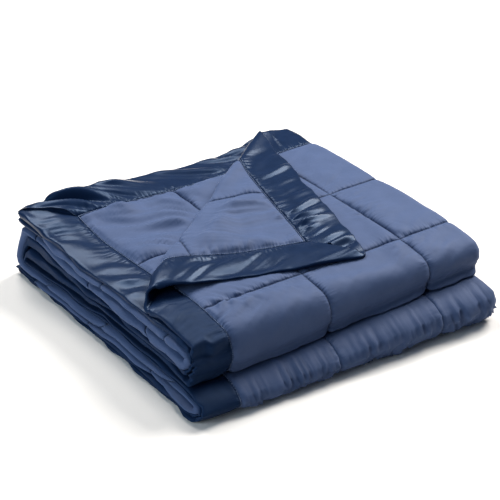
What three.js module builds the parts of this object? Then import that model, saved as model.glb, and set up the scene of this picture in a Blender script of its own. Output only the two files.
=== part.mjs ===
import * as THREE from 'three';

// A down alternative blanket with a satin binding, folded into a stack of sixteen layers.
// Millimetres. X runs along the front folds, Y to the back, Z up.
// A point of the flat blanket is (s, t): s across, t along. Its face A is the one that shows on top.

// The flat blanket
const SIDE = 2286;
const BINDING = 76;
const BOX = 194;
const BOXES = 11;
const SEAM_GAP = 0.3;

// Half of the cloth's thickness
const HALF_AT_SEAM = 0.9;
const HALF_AT_PUFF = 3;
const HALF_AT_EDGE = 1.2;
const HALF_IN_BINDING = 2.7;
const PUFF_FROM = 0.3;

// Folding: four layers side over side, then four panels front to back
const PITCH = 7.25;
const AIR = 4;
const DEPTH = 547;
const TURN = 4 * PITCH + AIR / 2;
const HIGH = 4 * TURN + AIR;
const OUTER_FOLD = 1.5 * PITCH;
const INNER_FOLD = 0.5 * PITCH;
const FOLD_EASE = 0.4;
const WIDE = (SIDE + 9 * PITCH - 2.5 * Math.PI * PITCH) / 4;
const OUTER_X = WIDE - 2 * PITCH;
const INNER_X = OUTER_X - FOLD_EASE;
const LEFT_X = INNER_FOLD;
const PRESSED = PITCH / 2 - HALF_AT_PUFF;

// Steps round a fold between layers and round a turn between panels
const FOLD_STEPS = 4;
const TURN_STEPS = 6;

// The turned-over corner of the top layer
const CREASE = { x: 26, y: 156, angle: 38.4 * Math.PI / 180 };
const ROLL = { left: 13, back: 7.5, over: 300 };
const FLAP_HEIGHT = 7.5;
const FLAP_SETTLES = 110;
const CREASE_CUTS = [0, 6, 12, 18, 24, 32, 41];

// The uneven left face. Stations are places along Y; each row is a level between two folded edges,
// from the top down: its height in a neat stack, its height here and how far the cloth is set back.
const STATIONS = [40, 200, 350, 520];
const LEFT_FACE = [
  { neat: HIGH, height: [129, 122, 117, 133], setBack: [15, 12, 8, 0] },
  { neat: HIGH - PITCH, height: [120, 112, 106, 124], setBack: [10, 10, 9, -3] },
  { neat: HIGH - 2 * PITCH, height: [110, 103, 97, 106], setBack: [9, 7, 5, 2] },
  { neat: HIGH - TURN, height: [100, 91, 87, 94], setBack: [5, 7, 6, 6] },
  { neat: HIGH - 2 * TURN + 2 * PITCH, height: [88, 77, 74, 84], setBack: [0, 0, 3, 5] },
  { neat: HIGH - 2 * TURN + PITCH, height: [78, 67, 62, 61], setBack: [2, 1, -1, 2] },
  { neat: HIGH - 2 * TURN - AIR / 2, height: [66, 54, 45, 36], setBack: [0, -2, -3, -6] },
  { neat: 2 * TURN - PITCH, height: [57, 48, 40, 31], setBack: [-4, -3, -5, -5] },
  { neat: 2 * TURN - 2 * PITCH, height: [46, 37, 30, 24], setBack: [-2, 2, 0, -3] },
  { neat: TURN, height: [34, 25, 19, 15], setBack: [-6, -3, -6, -8] },
  { neat: 2 * PITCH, height: [23, 16, 11, 10], setBack: [-8, -6, -5, -8] },
  { neat: PITCH, height: [11, 8, 5, 5], setBack: [-12, -6, -6, -7] },
  { neat: 0, height: [0, 0, 0, 0], setBack: [-10, -6, -5, -5] },
];
const LEFT_REACH = { front: 120, back: 220, edge: 60 };

// How the neat stack has slumped: lengths in millimetres, drops as a share of the height
const SLUMP = {
  backDrop: 0.11, backFrom: 180, backOver: 370, backDropEases: 0.5, easesFrom: 350, easesOver: 200,
  cornerLift: 0.15, liftFrom: 360, liftOver: 190, liftAcross: 120, liftFades: 260,
  liftsAbove: 50, liftLayers: 60,
  rightOut: 14, rightFrom: 250, rightOver: 300,
  lowTop: 80, lowFade: 32,
  lowForward: 42, lowForwardRight: 20, frontFade: 190,
  lowRight: 4, lowRightOver: 150,
  lowLeft: 18, lowLeftOver: 110,
  shoulderDrop: 10, shoulderOver: 110,
  frontSag: 20, sagFrom: 100, sagOver: 450, sagBack: 230,
};
const WAVE = { share: 0.012, alongX: 95, alongY: 80 };

// Middle of the stack's footprint
const MIDDLE = { x: 289.6, y: 243 };

const CLOTH_COLOUR = 0x5f7196;
const SATIN_COLOUR = 0x51668f;

function smooth(a) {
  const c = Math.min(Math.max(a, 0), 1);
  return c * c * (3 - 2 * c);
}

function mix(a, b, f) {
  return a + (b - a) * f;
}

// Section across the four layers: x, depth below the top face, and the direction of face A
function acrossLayers(s) {
  const inner = Math.PI * INNER_FOLD;
  const lengths = [OUTER_X, Math.PI * OUTER_FOLD, OUTER_X - LEFT_X, inner, INNER_X - LEFT_X, inner];
  let run = 0;
  while (run < lengths.length && s >= lengths[run]) {
    s -= lengths[run];
    run += 1;
  }
  const turn = s / (run === 1 ? OUTER_FOLD : INNER_FOLD);
  const sin = Math.sin(turn);
  const cos = Math.cos(turn);
  if (run === 0) return { x: s, depth: 0.5 * PITCH, nx: 0, nz: 1 };
  if (run === 1) {
    return { x: OUTER_X + OUTER_FOLD * sin, depth: 2 * PITCH - OUTER_FOLD * cos, nx: sin, nz: cos };
  }
  if (run === 2) return { x: OUTER_X - s, depth: 3.5 * PITCH, nx: 0, nz: -1 };
  if (run === 3) {
    return { x: LEFT_X - INNER_FOLD * sin, depth: 3 * PITCH + INNER_FOLD * cos, nx: -sin, nz: -cos };
  }
  if (run === 4) return { x: LEFT_X + s, depth: 2.5 * PITCH, nx: 0, nz: 1 };
  if (run === 5) {
    return { x: INNER_X + INNER_FOLD * sin, depth: 2 * PITCH + INNER_FOLD * cos, nx: -sin, nz: cos };
  }
  return { x: INNER_X - s, depth: 1.5 * PITCH, nx: 0, nz: -1 };
}

// Lengths of the four panels and three turns, in turn, for a layer at this depth
const LAST_RUN = 6;
function zigzagRuns(depth) {
  const panel = DEPTH - TURN;
  const middle = DEPTH - 2 * TURN;
  const front = Math.PI * (TURN - depth);
  const back = Math.PI * (AIR / 2 + depth);
  return [panel, front, middle, back, middle, front, panel];
}

// The first panel is smooth; the cloth after it is eased in a little
function easeAfterFirst(depth) {
  const runs = zigzagRuns(depth);
  const total = runs.reduce((sum, run) => sum + run, 0);
  return (total - runs[0]) / (SIDE - runs[0]);
}

// Where run number r starts along the blanket, for a layer at this depth
function startOfRun(r, depth) {
  const runs = zigzagRuns(depth);
  let along = runs[0];
  for (let i = 1; i < r; i += 1) along += runs[i];
  return runs[0] + (along - runs[0]) / easeAfterFirst(depth);
}

// A point on a front turn that starts at this top
function frontOf(top, at, turn) {
  return { y: TURN - (TURN - at) * Math.sin(turn), z: top - TURN + (TURN - at) * Math.cos(turn) };
}

// Section along the panels: a point at depth `at`, on a layer whose middle lies at `depth`
function alongPanels(t, depth, at) {
  const runs = zigzagRuns(depth);
  let along = t <= runs[0] ? t : runs[0] + (t - runs[0]) * easeAfterFirst(depth);
  let run = 0;
  while (run < LAST_RUN && along > runs[run]) {
    along -= runs[run];
    run += 1;
  }
  const frontTurn = along / (TURN - depth);
  const backTurn = along / (AIR / 2 + depth);
  const second = HIGH - 2 * TURN;
  const third = second - AIR;
  if (run === 0) return { run, y: DEPTH - along, z: HIGH - at };
  if (run === 1) return { run, ...frontOf(HIGH, at, frontTurn) };
  if (run === 2) return { run, y: TURN + along, z: second + at };
  if (run === 3) {
    return {
      run,
      y: DEPTH - TURN + (AIR / 2 + at) * Math.sin(backTurn),
      z: second - AIR / 2 + (AIR / 2 + at) * Math.cos(backTurn),
    };
  }
  if (run === 4) return { run, y: DEPTH - TURN - along, z: third - at };
  if (run === 5) return { run, ...frontOf(third, at, frontTurn) };
  return { run, y: TURN + along, z: at };
}

// Distance past the crease, towards the turned corner, and along it
function fromCrease(x, y) {
  const cos = Math.cos(CREASE.angle);
  const sin = Math.sin(CREASE.angle);
  return {
    along: (x - CREASE.x) * cos + (y - CREASE.y) * sin,
    past: (y - CREASE.y) * cos - (x - CREASE.x) * sin,
  };
}

// Turns the corner of the top layer over a soft roll
function turnCorner(x, y, middleZ, h) {
  const { along, past } = fromCrease(x, y);
  if (past <= 0) return { x, y, z: middleZ + h };
  const radius = mix(ROLL.left, ROLL.back, smooth(along / ROLL.over));
  const turn = past / radius;
  let across;
  let up;
  if (turn < Math.PI) {
    across = (radius - h) * Math.sin(turn);
    up = radius - (radius - h) * Math.cos(turn);
  } else {
    const beyond = past - Math.PI * radius;
    across = -beyond;
    up = mix(2 * radius, FLAP_HEIGHT, smooth(beyond / FLAP_SETTLES)) - h;
  }
  const cos = Math.cos(CREASE.angle);
  const sin = Math.sin(CREASE.angle);
  return {
    x: CREASE.x + along * cos - across * sin,
    y: CREASE.y + along * sin + across * cos,
    z: middleZ + up,
  };
}

function betweenStations(values, y, i) {
  const share = (y - STATIONS[i]) / (STATIONS[i + 1] - STATIONS[i]);
  return mix(values[i], values[i + 1], smooth(share));
}

// A value of a left-face row at this Y
function atStation(values, y) {
  for (let i = STATIONS.length - 2; i > 0; i -= 1) {
    if (y > STATIONS[i]) return betweenStations(values, y, i);
  }
  return betweenStations(values, y, 0);
}

// Height and set-back of the left face for a point that lies at z in the neat stack
function leftFace(y, z) {
  const top = LEFT_FACE[0];
  if (z >= top.neat) {
    return { height: atStation(top.height, y) + z - top.neat, setBack: atStation(top.setBack, y) };
  }
  let i = 1;
  while (i < LEFT_FACE.length - 1 && z < LEFT_FACE[i].neat) i += 1;
  const upper = LEFT_FACE[i - 1];
  const lower = LEFT_FACE[i];
  const f = (z - lower.neat) / (upper.neat - lower.neat);
  return {
    height: mix(atStation(lower.height, y), atStation(upper.height, y), f),
    setBack: mix(atStation(lower.setBack, y), atStation(upper.setBack, y), f),
  };
}

// From the neat stack to the slumped one. Each step moves points by a smooth amount, so that
// layers that are apart stay apart.
function slump(x, y, z) {
  const left = leftFace(y, z);
  const towardsBack = smooth((y - STATIONS[2]) / (STATIONS[3] - STATIONS[2]));
  const reach = mix(LEFT_REACH.front, LEFT_REACH.back, towardsBack);
  const nearLeft = 1 - smooth(x / reach);
  const low = 1 - smooth((z - SLUMP.lowTop + SLUMP.lowFade) / SLUMP.lowFade);
  const front = 1 - smooth(y / SLUMP.frontFade);
  let newX = x + left.setBack * (1 - smooth(x / LEFT_REACH.edge));
  newX += SLUMP.rightOut * smooth((x - SLUMP.rightFrom) / SLUMP.rightOver);
  newX += low * SLUMP.lowRight * smooth((x - WIDE + SLUMP.lowRightOver) / SLUMP.lowRightOver);
  newX -= low * SLUMP.lowLeft * smooth(x / SLUMP.lowLeftOver) * front;
  const newY = y - low * front * (SLUMP.lowForward + SLUMP.lowForwardRight * smooth(x / WIDE));
  const newZ = mix(z, left.height, nearLeft) * heightShare(x, y, z, nearLeft) - frontDrop(x, y, z);
  return { x: newX, y: newY, z: newZ };
}

// Lower towards the back, higher at the back left corner, and a little uneven all over
function heightShare(x, y, z, nearLeft) {
  const eases = 1 - SLUMP.backDropEases * smooth((x - SLUMP.easesFrom) / SLUMP.easesOver);
  const drop = SLUMP.backDrop * smooth((y - SLUMP.backFrom) / SLUMP.backOver) * (1 - nearLeft) * eases;
  const nearCorner = smooth(x / SLUMP.liftAcross) * (1 - smooth((x - SLUMP.liftAcross) / SLUMP.liftFades));
  const upper = smooth((z - SLUMP.liftsAbove) / SLUMP.liftLayers);
  const lift = SLUMP.cornerLift * smooth((y - SLUMP.liftFrom) / SLUMP.liftOver) * nearCorner * upper;
  const wave = WAVE.share * Math.sin(x / WAVE.alongX) * Math.sin(y / WAVE.alongY);
  return 1 - drop + lift + wave;
}

// The upper front turn is round-shouldered and sinks into the panels below it
function frontDrop(x, y, z) {
  const level = Math.min(z / HIGH, 1);
  const shoulder = SLUMP.shoulderDrop * (1 - smooth(y / SLUMP.shoulderOver)) * level ** 3;
  const sagShare = (1 - smooth((x - SLUMP.sagFrom) / SLUMP.sagOver)) * (1 - smooth(y / SLUMP.sagBack));
  const sag = SLUMP.frontSag * sagShare;
  return shoulder + sag * Math.sin(Math.PI * level);
}

// Where the point (s, t) of the flat blanket ends up, h to face A's side of its middle
function place(s, t, h) {
  const section = acrossLayers(s);
  const isTopLayer = s < OUTER_X;
  const panel = alongPanels(t, section.depth, section.depth - h * section.nz);
  let point = { x: section.x + h * section.nx, y: panel.y, z: panel.z };
  if (isTopLayer && panel.run === 0) point = turnCorner(point.x, point.y, point.z - h, h);
  const { x, y, z } = slump(point.x, point.y, point.z - PRESSED);
  return [x - MIDDLE.x, y - MIDDLE.y, z];
}

// Quilting: thick in the boxes, thin at their seams
function puff(c) {
  const inBox = ((c - BINDING) / BOX) % 1;
  const toSeam = Math.min(inBox, 1 - inBox);
  return Math.min(toSeam / PUFF_FROM, 1);
}

function clothHalf(s, t) {
  const rise = Math.sqrt(puff(s) * puff(t));
  return mix(HALF_AT_SEAM, HALF_AT_PUFF, rise);
}

// The outer layer of the last panel is pressed flat on what it lies on
function clothOuterHalf(s, t) {
  const section = acrossLayers(s);
  const isOuterLayer = section.nz === 1 && section.depth < PITCH;
  const lies = isOuterLayer && t > startOfRun(LAST_RUN, section.depth) - SEAM_GAP;
  return lies ? HALF_AT_PUFF : clothHalf(s, t);
}

// Binding: thin at the seam, full in its width, rounded at the free edge
const BINDING_STEPS = [0, 8, 38, BINDING - SEAM_GAP / 2];
function bindingHalf(s, t) {
  const toEdge = Math.min(s, t, SIDE - s, SIDE - t);
  if (toEdge < BINDING_STEPS[1]) return mix(HALF_AT_EDGE, HALF_IN_BINDING, toEdge / BINDING_STEPS[1]);
  if (toEdge < BINDING_STEPS[2]) return HALF_IN_BINDING;
  return mix(HALF_IN_BINDING, HALF_AT_SEAM, (toEdge - BINDING_STEPS[2]) / (BINDING - BINDING_STEPS[2]));
}

// Stops across s: box seams, the shoulders of the puffs, and the steps of each fold
function stopsAcross() {
  const outerStart = OUTER_X;
  const leftStart = outerStart + Math.PI * OUTER_FOLD + OUTER_X - LEFT_X;
  const innerStart = leftStart + Math.PI * INNER_FOLD + INNER_X - LEFT_X;
  const folds = [
    { from: outerStart, to: outerStart + Math.PI * OUTER_FOLD },
    { from: leftStart, to: leftStart + Math.PI * INNER_FOLD },
    { from: innerStart, to: innerStart + Math.PI * INNER_FOLD },
  ];
  return boxStops(folds, FOLD_STEPS).map((stop) => stop(0));
}

// Stops along t are functions of the layer's depth, because each turn is longer for outer layers
function stopsAlong() {
  const folds = [1, 3, 5].map((run) => ({
    from: (depth) => startOfRun(run, depth),
    to: (depth) => startOfRun(run + 1, depth),
    near: startOfRun(run, 2 * PITCH),
  }));
  return boxStops(folds, TURN_STEPS);
}

function boxStops(folds, steps) {
  const value = (v, depth) => (typeof v === 'function' ? v(depth) : v);
  const stops = [];
  for (let k = 0; k < BOXES; k += 1) {
    const a = BINDING + k * BOX;
    const b = a + BOX;
    const fold = folds.find((f) => (f.near ?? f.from) > a && (f.near ?? f.from) < b);
    stops.push(() => a);
    if (!fold) {
      stops.push(() => a + PUFF_FROM * BOX, () => b - PUFF_FROM * BOX);
      continue;
    }
    stops.push((depth) => (a + value(fold.from, depth)) / 2);
    for (let i = 0; i <= steps; i += 1) {
      stops.push((depth) => mix(value(fold.from, depth), value(fold.to, depth), i / steps));
    }
    stops.push((depth) => (value(fold.to, depth) + b) / 2);
  }
  stops.push(() => SIDE - BINDING);
  return stops;
}

// Keeps a seam gap between the cloth and the binding
function insetEnds(values) {
  const out = values.slice();
  out[0] += SEAM_GAP / 2;
  out[out.length - 1] -= SEAM_GAP / 2;
  return out;
}

// Cells of the quilted cloth
function clothCells() {
  const across = insetEnds(stopsAcross());
  const along = stopsAlong();
  const grid = across.map((s) => {
    const { depth } = acrossLayers(s);
    return insetEnds(along.map((stop) => stop(depth))).map((t) => [s, t]);
  });
  return cellsOf(grid);
}

// Cells of one binding strip, with mitred ends. The strip is made along an edge and then moved to its side.
// The row at the seam has no mitre, so its ends repeat to match the other rows.
function bindingCells(side) {
  const runsAlong = side === 'left' || side === 'right';
  const along = stopsAlong();
  const seam = runsAlong ? null : stopsAcross();
  const rows = BINDING_STEPS.map((inward) => {
    const s = side === 'right' ? SIDE - inward : inward;
    const depth = acrossLayers(runsAlong ? s : 0).depth;
    const between = runsAlong ? along.map((stop) => stop(depth)) : seam;
    const first = inward + SEAM_GAP;
    const atCorner = BINDING - inward < SEAM_GAP;
    const start = atCorner ? [] : [first, mix(first, BINDING, 0.5)];
    const end = start.map((v) => SIDE - v).reverse();
    const whole = [...start, ...(atCorner ? insetEnds(between) : between), ...end];
    while (whole.length < between.length + 4) {
      whole.unshift(whole[0]);
      whole.push(whole[whole.length - 1]);
    }
    return whole.map((v) => [inward, v]);
  });
  const onSide = {
    left: ([a, b]) => [a, b],
    right: ([a, b]) => [SIDE - a, b],
    back: ([a, b]) => [b, a],
    far: ([a, b]) => [b, SIDE - a],
  }[side];
  return cellsOf(rows.map((row) => row.map(onSide)));
}

function cellsOf(grid) {
  const cells = [];
  for (let i = 0; i + 1 < grid.length; i += 1) {
    for (let j = 0; j + 1 < grid[i].length; j += 1) {
      cells.push([grid[i][j], grid[i + 1][j], grid[i + 1][j + 1], grid[i][j + 1]]);
    }
  }
  return cells;
}

// Cuts a cell in two along a line parallel to the crease, at this distance past it
function cutAt(cell, distance) {
  const past = ([s, t]) => fromCrease(s, DEPTH - t).past - distance;
  const sides = [[], []];
  cell.forEach((p, i) => {
    const q = cell[(i + 1) % cell.length];
    const [dp, dq] = [past(p), past(q)];
    sides[dp > 0 ? 1 : 0].push(p);
    if ((dp > 0) !== (dq > 0)) {
      const swap = p[0] > q[0] || (p[0] === q[0] && p[1] > q[1]);
      const [a, b] = swap ? [q, p] : [p, q];
      const [da, db] = swap ? [dq, dp] : [dp, dq];
      const f = da / (da - db);
      const cut = [mix(a[0], b[0], f), mix(a[1], b[1], f)];
      sides[0].push(cut);
      sides[1].push(cut);
    }
  });
  return sides.filter((side) => side.length > 2);
}

function cutByCrease(cells) {
  return CREASE_CUTS.reduce((all, distance) => all.flatMap((cell) => {
    const inFirstPanel = cell.every(([s, t]) => s <= OUTER_X && t <= DEPTH - TURN);
    return inFirstPanel ? cutAt(cell, distance) : [cell];
  }), cells);
}

// A closed solid from cells of the flat blanket: face A, the other face, and walls round the rim.
// Corners that agree to this many digits are one point.
const KEY_DIGITS = 4;
function solid(cells, outerHalf, innerHalf) {
  const index = new Map();
  const flat = [];
  const idOf = (p) => {
    const key = `${p[0].toFixed(KEY_DIGITS)} ${p[1].toFixed(KEY_DIGITS)}`;
    if (!index.has(key)) {
      index.set(key, flat.length);
      flat.push(p);
    }
    return index.get(key);
  };
  const triangles = [];
  for (const cell of cutByCrease(cells)) {
    const ids = cell.map(idOf).filter((id, i, all) => id !== all[(i + 1) % all.length]);
    for (let i = 1; i + 1 < ids.length; i += 1) triangles.push([ids[0], ids[i], ids[i + 1]]);
  }
  const [a, b, c] = triangles[0].map((id) => flat[id]);
  const turnsLeft = (b[0] - a[0]) * (c[1] - a[1]) - (b[1] - a[1]) * (c[0] - a[0]) > 0;
  const rim = new Map();
  for (const ids of triangles) {
    for (let i = 0; i < 3; i += 1) {
      const [p, q] = [ids[i], ids[(i + 1) % 3]];
      if (rim.has(`${q} ${p}`)) rim.delete(`${q} ${p}`);
      else rim.set(`${p} ${q}`, [p, q]);
    }
  }
  const count = flat.length;
  const positions = [
    ...flat.flatMap(([s, t]) => place(s, t, outerHalf(s, t))),
    ...flat.flatMap(([s, t]) => place(s, t, -innerHalf(s, t))),
  ];
  const faces = [];
  // In (s, t) a left turn runs clockwise seen from face A, because t runs towards the front
  for (const [p, q, r] of triangles) {
    faces.push(...(turnsLeft ? [p, r, q] : [p, q, r]));
    faces.push(...(turnsLeft ? [p, q, r] : [p, r, q]).map((id) => id + count));
  }
  // Both sides of a seam split their walls the same way, so that they stay parallel
  for (const rimEdge of rim.values()) {
    const [p, q] = turnsLeft ? rimEdge : rimEdge.slice().reverse();
    const ahead = flat[p][1] < flat[q][1] || (flat[p][1] === flat[q][1] && flat[p][0] < flat[q][0]);
    const [lowerP, lowerQ] = [p + count, q + count];
    faces.push(...(ahead ? [p, q, lowerQ, p, lowerQ, lowerP] : [p, q, lowerP, q, lowerQ, lowerP]));
  }
  const geometry = new THREE.BufferGeometry();
  geometry.setAttribute('position', new THREE.Float32BufferAttribute(positions, 3));
  geometry.setIndex(faces);
  geometry.computeVertexNormals();
  return geometry;
}

function quiltedCloth() {
  const material = new THREE.MeshStandardMaterial({ color: CLOTH_COLOUR, roughness: 0.75, metalness: 0 });
  const mesh = new THREE.Mesh(solid(clothCells(), clothOuterHalf, clothHalf), material);
  mesh.name = 'quilted_cloth';
  return mesh;
}

function bindingStrip(side) {
  const material = new THREE.MeshStandardMaterial({ color: SATIN_COLOUR, roughness: 0.35, metalness: 0 });
  const mesh = new THREE.Mesh(solid(bindingCells(side), bindingHalf, bindingHalf), material);
  mesh.name = `binding_${side}`;
  return mesh;
}

const blanket = new THREE.Group();
blanket.add(quiltedCloth());
for (const side of ['left', 'right', 'back', 'far']) blanket.add(bindingStrip(side));

export default blanket;
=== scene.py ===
# %% [markdown]
# # A folded down alternative blanket
# The real thing is one quilted cloth, two thin microfibre faces with fibre between them, in a wide satin
# binding, folded flat with one corner turned over. It could be simulated, but sixteen layers in contact
# take far too long. So this lesson carries points of the flat blanket through the folds that its
# maker's hands would make.

# %% The frame
import math

import bpy
import numpy as np
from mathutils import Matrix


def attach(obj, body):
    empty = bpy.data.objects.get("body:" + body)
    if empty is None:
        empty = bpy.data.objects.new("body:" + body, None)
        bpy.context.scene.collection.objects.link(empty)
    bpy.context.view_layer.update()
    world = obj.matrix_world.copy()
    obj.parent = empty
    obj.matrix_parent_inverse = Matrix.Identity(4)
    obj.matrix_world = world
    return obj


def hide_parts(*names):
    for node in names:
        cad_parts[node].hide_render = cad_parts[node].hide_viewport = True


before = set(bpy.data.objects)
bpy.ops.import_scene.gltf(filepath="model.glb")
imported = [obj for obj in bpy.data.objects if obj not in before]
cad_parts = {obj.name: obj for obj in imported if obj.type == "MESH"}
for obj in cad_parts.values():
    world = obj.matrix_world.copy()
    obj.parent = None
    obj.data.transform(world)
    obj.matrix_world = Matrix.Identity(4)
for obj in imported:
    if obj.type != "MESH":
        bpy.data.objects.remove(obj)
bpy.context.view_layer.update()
print("nodes", sorted(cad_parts))

# %% [markdown]
# ## The camera
# The photo was taken from the front left, about 29 degrees above the table, with a long lens, so that
# edges stay nearly parallel. A camera could come last, but everything is judged through it.

# %% Camera
AZIMUTH, ELEVATION, DISTANCE = math.radians(-35.12), math.radians(29.43), 3.12
VIEW_CENTRE = np.array([0.0215, 0.0445, 0.06])
LENS = 129.6


def add_object(name, data):
    made = bpy.data.objects.new(name, data)
    bpy.context.collection.objects.link(made)
    return made


def add_camera():
    flat = math.cos(ELEVATION)
    towards = np.array([math.sin(AZIMUTH) * flat, -math.cos(AZIMUTH) * flat, math.sin(ELEVATION)])
    data = bpy.data.cameras.new("camera")
    data.lens = LENS
    camera = add_object("camera", data)
    camera.location = VIEW_CENTRE + towards * DISTANCE
    camera.rotation_euler = (math.pi / 2 - ELEVATION, 0, AZIMUTH)
    bpy.context.scene.camera = camera


add_camera()
print("camera", tuple(round(v, 3) for v in bpy.context.scene.camera.location))

# %% [markdown]
# ## The sizes of the flat blanket and of its folds
# A queen blanket is 2286 mm square: eleven sewn boxes and a 76 mm binding on each side. Two folds across
# give four layers, and three turns more give four panels, so sixteen layers in all. The folds could be
# measured one by one, but worked out from the flat size they fit each other. Lengths are in
# millimetres until the meshes are made.

# %% Sizes
SIDE, BINDING, BOX, BOXES = 2286.0, 76.0, 194.0, 11
PITCH, AIR, DEPTH = 7.25, 4.0, 547.0
TURN = 4 * PITCH + AIR / 2
HIGH = 4 * TURN + AIR
OUTER_FOLD, INNER_FOLD, FOLD_EASE = 1.5 * PITCH, 0.5 * PITCH, 0.4
# Four layers and the half circles between them use up the whole side
WIDE = (SIDE + 9 * PITCH - 2.5 * math.pi * PITCH) / 4
OUTER_X = WIDE - 2 * PITCH
INNER_X = OUTER_X - FOLD_EASE
LEFT_X = INNER_FOLD
HALF_AT_SEAM, HALF_AT_PUFF = 0.7, 3.0
PRESSED = PITCH / 2 - HALF_AT_PUFF
MIDDLE = np.array([289.6, 243.0, 0.0])
print("stack", round(WIDE), "by", round(DEPTH), "by", round(HIGH), "mm before it slumps")


def smooth(a):
    c = np.clip(a, 0, 1)
    return c * c * (3 - 2 * c)


def eased(value, start, over):
    """Rises smoothly from 0 at start to 1 when value is over past it."""
    return smooth((value - start) / over)


def mix(a, b, f):
    return a + (b - a) * f

# %% [markdown]
# ## Folding
# A point of the flat blanket is (s, t): s across, t along. One function folds s into four layers and says
# how deep each lies, and the next folds t into four panels. Bend modifiers could fold a sheet too, but
# they stretch it. Arcs and straight runs keep the cloth's length, as real folding does.

# %% Folds across
FOLD_RUNS = [OUTER_X, math.pi * OUTER_FOLD, OUTER_X - LEFT_X, math.pi * INNER_FOLD]
FOLD_RUNS += [INNER_X - LEFT_X, math.pi * INNER_FOLD]
FOLD_STARTS = np.concatenate([[0], np.cumsum(FOLD_RUNS)])


def across_layers(s):
    """Where s lies across the stack, how deep, and how far face A looks sideways and up there."""
    run = np.clip(np.searchsorted(FOLD_STARTS, s, side="right") - 1, 0, len(FOLD_RUNS))
    along = s - FOLD_STARTS[run]
    turn = along / np.where(run == 1, OUTER_FOLD, INNER_FOLD)
    sin, cos, flat = np.sin(turn), np.cos(turn), np.zeros_like(s)
    x = [s, OUTER_X + OUTER_FOLD * sin, OUTER_X - along, LEFT_X - INNER_FOLD * sin]
    x += [LEFT_X + along, INNER_X + INNER_FOLD * sin, INNER_X - along]
    depth = [flat + 0.5 * PITCH, 2 * PITCH - OUTER_FOLD * cos, flat + 3.5 * PITCH]
    depth += [3 * PITCH + INNER_FOLD * cos, flat + 2.5 * PITCH, 2 * PITCH + INNER_FOLD * cos]
    depth += [flat + 1.5 * PITCH]
    side = [flat, sin, flat, -sin, flat, -sin, flat]
    up = [flat + 1, cos, flat - 1, -cos, flat + 1, cos, flat - 1]
    return tuple(np.choose(run, on_each_run) for on_each_run in (x, depth, side, up))


print("folds across start at", FOLD_STARTS.round())

# %% Folds along
def zigzag_runs(depth):
    """Lengths of the seven runs of the zigzag at this depth: four panels and the turns between them."""
    panel, middle = DEPTH - TURN + 0 * depth, DEPTH - 2 * TURN + 0 * depth
    front, back = math.pi * (TURN - depth), math.pi * (AIR / 2 + depth)
    return np.stack([panel, front, middle, back, middle, front, panel])


def ease_after_first(depth):
    runs = zigzag_runs(depth)
    return (runs.sum(axis=0) - runs[0]) / (SIDE - runs[0])


def start_of_run(number, depth):
    runs = zigzag_runs(depth)
    return runs[0] + runs[1:number].sum(axis=0) / ease_after_first(depth)


def along_panels(t, depth, at):
    """The run that t is on at this depth, and the y and z of the cloth's face, at below the top."""
    runs = zigzag_runs(depth)
    along = np.where(t <= runs[0], t, runs[0] + (t - runs[0]) * ease_after_first(depth))
    ends = np.cumsum(runs, axis=0)[:-1]
    run = (along > ends).sum(axis=0)
    starts = np.concatenate([np.zeros((1,) + ends.shape[1:]), ends])
    along = along - np.take_along_axis(starts, run[None], axis=0)[0]
    front, back = along / (TURN - depth), along / (AIR / 2 + depth)
    front_y, front_z = TURN - (TURN - at) * np.sin(front), (TURN - at) * np.cos(front)
    back_y, back_z = (AIR / 2 + at) * np.sin(back), (AIR / 2 + at) * np.cos(back)
    second = HIGH - 2 * TURN
    y = [DEPTH - along, front_y, TURN + along, DEPTH - TURN + back_y]
    y += [DEPTH - TURN - along, front_y, TURN + along]
    z = [HIGH - at, HIGH - TURN + front_z, second + at, second - AIR / 2 + back_z]
    z += [second - AIR - at, second - AIR - TURN + front_z, at]
    return run, np.choose(run, y), np.choose(run, z)


TOP_LAYER, LOWEST_LAYER = 0.5 * PITCH, 3.5 * PITCH
print("turns start at", [round(start_of_run(number, TOP_LAYER)) for number in (1, 3, 5)])

# %% [markdown]
# ## The turned-over corner
# The top layer's front left corner is lifted over a soft roll and laid back on the stack. A separate
# piece could lie on top, but its seams wouldn't run on into the stack's. So past the crease line the
# flat cloth goes round the roll, which is wider at its left end, and runs back over itself.

# %% Turned corner
CREASE = {"x": 26.0, "y": 156.0, "angle": math.radians(38.4)}
ROLL = {"left": 12.5, "back": 7.5, "over": 300.0}
FLAP_HEIGHT = 7.5
SETTLES = {"end": 22.0, "rest": 110.0, "from": 4.0, "over": 28.0}
CREASE_COS, CREASE_SIN = math.cos(CREASE["angle"]), math.sin(CREASE["angle"])


def from_crease(x, y):
    along = (x - CREASE["x"]) * CREASE_COS + (y - CREASE["y"]) * CREASE_SIN
    past = (y - CREASE["y"]) * CREASE_COS - (x - CREASE["x"]) * CREASE_SIN
    return along, past


def turn_corner(x, y, middle_z, h):
    along, past = from_crease(x, y)
    radius = mix(ROLL["left"], ROLL["back"], eased(along, 0, ROLL["over"]))
    turn = np.minimum(past / radius, math.pi)
    beyond = np.maximum(past - math.pi * radius, 0)
    across = np.where(beyond > 0, -beyond, (radius - h) * np.sin(turn))
    rolled = radius - (radius - h) * np.cos(turn)
    settles = mix(SETTLES["end"], SETTLES["rest"], eased(along, SETTLES["from"], SETTLES["over"]))
    up = np.where(beyond > 0, mix(2 * radius, FLAP_HEIGHT, smooth(beyond / settles)) - h, rolled)
    turned = past > 0
    return (
        np.where(turned, CREASE["x"] + along * CREASE_COS - across * CREASE_SIN, x),
        np.where(turned, CREASE["y"] + along * CREASE_SIN + across * CREASE_COS, y),
        np.where(turned, middle_z + up, middle_z + h),
    )


print("the corner's tip was", round(from_crease(0, DEPTH)[1]), "mm past the crease line")

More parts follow.
